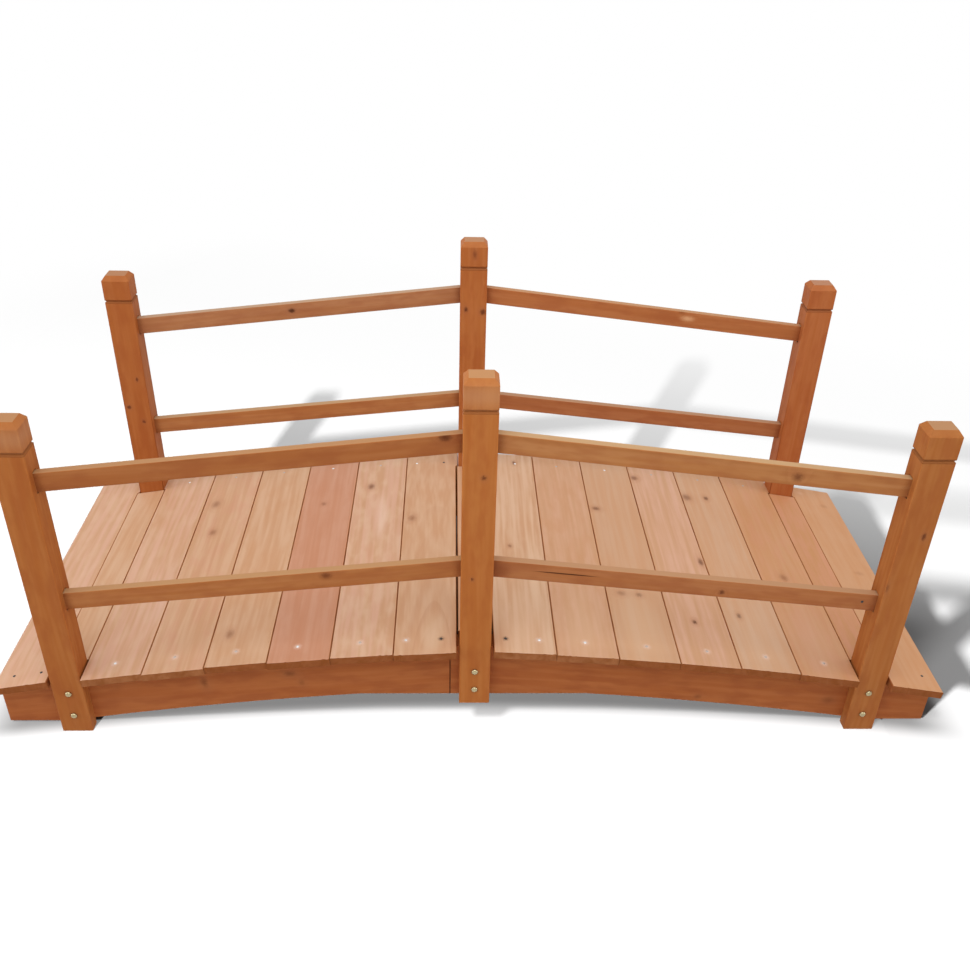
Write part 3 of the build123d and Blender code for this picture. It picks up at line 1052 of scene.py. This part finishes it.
# The photograph's camera
IMAGE_WIDTH = 970
FOCAL_PIXELS = 1009.618
CAMERA_PLACE = (-40.62, -1421.49, 1175.04)
CAMERA_DOWN = radians(32.197)
CAMERA_YAW = radians(2.41)
CAMERA_ROLL = radians(-1.643)
CAMERA_REACH = 100000


def seen_rays(tree, path):
    """1 for rays that show a surface, straight or in metal or glass, and 0 for those that only light."""
    seen = add(tree, "Math", {0: path["Is Camera Ray"], 1: path["Is Glossy Ray"]}, operation="MAXIMUM")[0]
    return add(tree, "Math", {0: seen, 1: path["Is Transmission Ray"]}, operation="MAXIMUM")[0]


def floor_whiteness(tree, place):
    """How white the floor looks: wholly so far from the bridge and where the shadow has faded."""
    distance = add(tree, "VectorMath", {0: place}, operation="LENGTH")["Value"]
    start, end = [v * MM for v in WHITE_DISTANCES]
    inputs = {"Value": distance, "From Min": start, "From Max": end}
    far = add(tree, "MapRange", inputs, interpolation_type="SMOOTHSTEP")[0]
    behind = add(tree, "VectorMath", {0: place, 1: SHADOW_WAY}, operation="DOT_PRODUCT")["Value"]
    start, end = [v * MM for v in FADE_DISTANCES]
    fade = add(tree, "MapRange", {"Value": behind, "From Min": start, "From Max": end})[0]
    return add(tree, "Math", {0: far, 1: fade}, operation="MAXIMUM")[0]


def floor_tone_with_painted_shadow(tree, place):
    """The floor's tone, with a shadow painted on it under the bridge."""
    x, y, _ = add(tree, "SeparateXYZ", {0: place})
    bow = add(tree, "Math", {0: x, 1: x}, operation="MULTIPLY")[0]
    bowed = add(tree, "Math", {0: bow, 1: PAINTED_SHADOW_BOW, 2: y}, operation="MULTIPLY_ADD")[0]
    start, end = [v * MM for v in PAINTED_SHADOW_FRONT]
    inputs = {"Value": bowed, "From Min": start, "From Max": end, "To Min": 1.0, "To Max": PAINTED_SHADOW}
    front = add(tree, "MapRange", inputs, interpolation_type="SMOOTHSTEP")[0]
    sideways = add(tree, "Math", {0: x}, operation="ABSOLUTE")[0]
    start, end = [v * MM for v in PAINTED_SHADOW_SIDES]
    inputs = {"Value": sideways, "From Min": start, "From Max": end}
    beside = add(tree, "MapRange", inputs, interpolation_type="SMOOTHSTEP")[0]
    start, end = [v * MM for v in PAINTED_SHADOW_BACK]
    back = add(tree, "MapRange", {"Value": y, "From Min": start, "From Max": end})[0]
    outside = add(tree, "Math", {0: beside, 1: back}, operation="MAXIMUM")[0]
    shade = add(tree, "Mix", {0: outside, 2: front, 3: 1.0})[0]
    return add(tree, "Math", {0: shade, 1: FLOOR_TONE}, operation="MULTIPLY")[0]


def pale_floor():
    """A matt painted floor that keeps the lamps' shadow near the bridge, has a shadow painted on it under the
    bridge, and is white further off.
    """
    material, tree, surface = empty_material("pale_floor")
    place = add(tree, "TexCoord")["Object"]
    path = add(tree, "LightPath")
    whiteness = floor_whiteness(tree, place)
    share = add(tree, "Math", {0: whiteness, 1: seen_rays(tree, path)}, operation="MULTIPLY")[0]
    # The floor's tone carries the shadow painted under the bridge
    paint = add(tree, "Mix", {0: path["Is Diffuse Ray"], 2: floor_tone_with_painted_shadow(tree, place), 3: FLOOR_BOUNCE})[0]
    matt = add(tree, "BsdfDiffuse", {"Color": paint})[0]
    white = add(tree, "Emission", {"Color": (1, 1, 1, 1), "Strength": 1.0})[0]
    tree.links.new(add(tree, "MixShader", {0: share, 1: matt, 2: white})[0], surface)
    return material


def on_the_right(face):
    """Whether a face of the floor lies on the inner side of all three edges of the floor's right part."""
    middle = face.calc_center_median()
    return all((middle - Vector(edge) * MM).dot(Vector(way)) > 0 for edge, way in RIGHT_FLOOR_EDGES)


def make_floor():
    """The floor's two parts, each with its own lamps, as the shadow at the right end falls another way."""
    material = pale_floor()
    floors = []
    for name in ("floor", "right_floor"):
        bm = bmesh.new()
        bmesh.ops.create_grid(bm, x_segments=1, y_segments=1, size=FLOOR_HALF * MM)
        for edge, way in RIGHT_FLOOR_EDGES:
            cut(bm, Vector(edge) * MM, way)
        extra = [face for face in bm.faces if on_the_right(face) != (name == "right_floor")]
        bmesh.ops.delete(bm, geom=extra, context="FACES")
        mesh = bpy.data.meshes.new(name)
        bm.to_mesh(mesh)
        bm.free()
        mesh.materials.append(material)
        floor = bpy.data.objects.new(name, mesh)
        bpy.context.scene.collection.objects.link(floor)
        floors.append(floor)
    return floors


def linked(name, objects, state):
    """A group of objects for a lamp to take alone, or to leave out, when it lights or when it is shaded."""
    group = bpy.data.collections.new(name)
    for target in objects:
        group.objects.link(target)
    for member in group.collection_objects:
        member.light_linking.link_state = state
    return group


def floor_lamp(name, kind, floor, clear=()):
    """A lamp for a part of the floor alone, which the back railing and some other pieces don't shade."""
    lamp = bpy.data.objects.new(name, bpy.data.lights.new(name, kind))
    bpy.context.scene.collection.objects.link(lamp)
    shadowless = [bpy.data.objects[f"back_{place}_post_dressed"] for place in PLACES]
    shadowless += [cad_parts[f"back_{half}_{rail}"] for half in HALVES for rail in RAILS]
    shadowless += [bpy.data.objects[piece] for piece in clear]
    lamp.light_linking.receiver_collection = linked(name + "_floor", [floor], "INCLUDE")
    lamp.light_linking.blocker_collection = linked(name + "_shadowless", shadowless, "EXCLUDE")
    return lamp


def soft_lamp(name, place, width, watts, floors):
    """A wide soft light that looks at the bridge and leaves the floor alone."""
    data = bpy.data.lights.new(name, "AREA")
    data.shape = "SQUARE"
    data.size = width * MM
    data.energy = watts
    lamp = bpy.data.objects.new(name, data)
    bpy.context.scene.collection.objects.link(lamp)
    place = Vector(place) * MM
    turn = (-place).to_track_quat("-Z", "Y").to_matrix().to_4x4()
    lamp.matrix_world = Matrix.Translation(place) @ turn
    lamp.light_linking.receiver_collection = linked(name + "_not_the_floor", floors, "EXCLUDE")


def make_room():
    """A white room all round, which lights the bridge less strongly than it shows."""
    world = bpy.data.worlds.new("pale_room")
    world.use_nodes = True
    tree = world.node_tree
    tree.nodes.clear()
    seen = seen_rays(tree, add(tree, "LightPath"))
    strength = add(tree, "MapRange", {"Value": seen, "To Min": ROOM_LIGHT, "To Max": 1.0})[0]
    room = add(tree, "Background", {"Color": (1, 1, 1, 1), "Strength": strength})[0]
    tree.links.new(room, tree.nodes.new("ShaderNodeOutputWorld").inputs["Surface"])
    bpy.context.scene.world = world


def make_low_lamp(floor):
    """The lamp that casts the railing's long shadow, equally strong near and far."""
    lamp = floor_lamp("low_lamp", "POINT", floor, ["front_right_post_dressed"])
    lamp.location = [v * MM for v in SHADOW_LAMP_PLACE]
    lamp.data.shadow_soft_size = SHADOW_LAMP_RADIUS * MM
    lamp.data.energy = 1.0
    lamp.data.use_nodes = True
    tree = lamp.data.node_tree
    tree.nodes.clear()
    steady = add(tree, "LightFalloff", {"Strength": SHADOW_LAMP_STRENGTH, "Smooth": 0.0})["Constant"]
    glow = add(tree, "Emission", {"Strength": steady})[0]
    tree.links.new(glow, tree.nodes.new("ShaderNodeOutputLight").inputs["Surface"])


def make_sun(name, floor, way, strength, angle, clear=()):
    """A far lamp for a part of the floor."""
    sun = floor_lamp(name, "SUN", floor, clear)
    sun.rotation_euler = Vector(way).to_track_quat("Z", "Y").to_euler()
    sun.data.energy = strength
    sun.data.angle = angle


def make_light(floors):
    """A pale room, soft lights for the bridge, and lamps that cast its shadow on the floor."""
    make_room()
    soft_lamp("ceiling_light", CEILING_PLACE, CEILING_WIDTH, CEILING_WATTS, floors)
    for half, place in zip(HALVES, FILL_PLACES):
        soft_lamp(half + "_fill_light", place, FILL_WIDTH, FILL_WATTS, floors)
    wide, right = floors
    make_low_lamp(wide)
    clear = ["front_left_post_dressed"]
    make_sun("high_lamp", wide, HIGH_LAMP_WAY, HIGH_LAMP_STRENGTH, HIGH_LAMP_ANGLE, clear)
    make_sun("right_high_lamp", right, HIGH_LAMP_WAY, RIGHT_HIGH_LAMP_STRENGTH, HIGH_LAMP_ANGLE)
    make_sun("side_lamp", right, SIDE_LAMP_WAY, SIDE_LAMP_STRENGTH, SIDE_LAMP_ANGLE)


def make_camera():
    """The photograph's view: from above the front, a little to the left of the middle."""
    data = bpy.data.cameras.new("camera")
    data.sensor_fit = "HORIZONTAL"
    data.lens = data.sensor_width * FOCAL_PIXELS / IMAGE_WIDTH
    data.clip_end = CAMERA_REACH * MM
    camera = bpy.data.objects.new("camera", data)
    bpy.context.scene.collection.objects.link(camera)
    camera.matrix_world = (
        Matrix.Translation(Vector(CAMERA_PLACE) * MM)
        @ Matrix.Rotation(-CAMERA_YAW, 4, "Z")
        @ Matrix.Rotation(pi / 2 - CAMERA_DOWN, 4, "X")
        @ Matrix.Rotation(-CAMERA_ROLL, 4, "Z")
    )
    bpy.context.scene.camera = camera


# The whole scene
make_deck()
make_frame_wood()
make_bolts(zinc_plated_steel("zinc_plated_steel", *BOLT_ZINC))
make_nails("bright", BRIGHT_NAILS, zinc_plated_steel("bright_nail_steel", *BRIGHT_NAIL_ZINC))
make_nails("dull", DULL_NAILS, zinc_plated_steel("dull_nail_steel", *DULL_NAIL_ZINC))
plate_paint = black_paint("black_paint")
make_nails("dark", DARK_NAILS, black_paint("dark_iron"))
make_plate_screws(plate_paint)
for side in SIDES:
    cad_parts[f"{side}_joining_plate"].material_slots[0].material = plate_paint
make_light(make_floor())
make_camera()
bpy.context.scene.view_settings.view_transform = "Standard"
